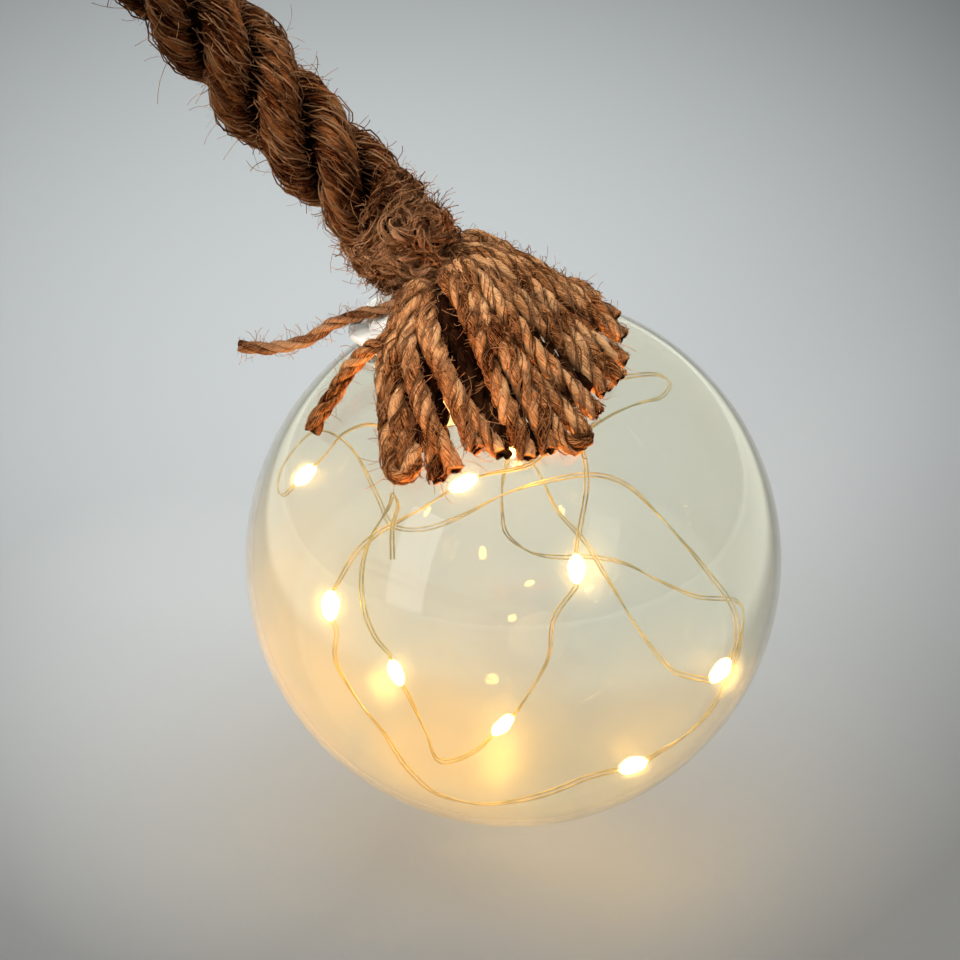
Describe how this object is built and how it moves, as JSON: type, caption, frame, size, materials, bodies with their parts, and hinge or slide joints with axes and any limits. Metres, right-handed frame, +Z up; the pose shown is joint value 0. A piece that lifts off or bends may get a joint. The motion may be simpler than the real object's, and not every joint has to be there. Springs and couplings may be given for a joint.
{
  "type": "led christmas bauble",
  "caption": "Blown glass bauble with a string of warm lights inside, fed by a battery holder in its neck and hung on a thick twisted jute rope bound to the twist-off lid",
  "frame": {"origin": "the inside of the hanging loop's crown, where a hook bears", "axes": "+Z is up as pictured; the rope, the neck and the ball's middle all lie in the X-Z plane, with the ball at +X and the viewer at -Y"},
  "size_m": [0.1562, 0.0998, 0.2225],
  "materials": {
    "glass": "thin clear blown glass with a faint yellow-green lustre",
    "white_plastic": "moulded white plastic",
    "rubber": "soft black rubber",
    "board": "green solder mask",
    "steel": "bright spring steel",
    "cell": "nickel-plated steel can",
    "slider": "black plastic",
    "light": "clear resin drop over a warm white chip",
    "wire": "lacquered copper wire with a brassy green tint",
    "jute": "coarse brown jute, hairy",
    "twine": "twisted jute twine"
  },
  "bodies": {
    "rope": {"hanging_loop": "twine", "end_whipping": "twine", "jute_rope": "jute", "neck_whipping": "twine", "rope_fringe": "jute", "binding_tail": "twine", "battery_lid": "white_plastic", "pressure_disc": "steel"},
    "ball": {"glass_ball": "glass", "battery_holder": "white_plastic", "grip_ring": "rubber", "circuit_board": "board", "contact_spring": "steel", "side_contact": "steel", "coin_cell_lower": "cell", "coin_cell_upper": "cell", "light_01": "light", "light_02": "light", "light_03": "light", "light_04": "light", "light_05": "light", "light_06": "light", "light_07": "light", "light_08": "light", "light_09": "light", "light_10": "light", "wire_01": "wire", "wire_02": "wire", "wire_03": "wire", "wire_04": "wire", "wire_05": "wire", "wire_06": "wire", "wire_07": "wire", "wire_08": "wire", "wire_09": "wire", "wire_10": "wire", "string_tail": "wire"},
    "switch": {"switch_slider": "slider"}
  },
  "joints": [
    {"name": "lid_twist", "type": "hinge", "parent": "rope", "child": "ball", "pos_m": [0.09996, 0, -0.16826], "axis": [-0.284, 0, 0.9588], "range_deg": [0, 30]},
    {"name": "switch_slide", "type": "slide", "parent": "ball", "child": "switch", "axis": [-0.1665, -0.9848, -0.0493], "range_m": [0, 0.002]}
  ]
}
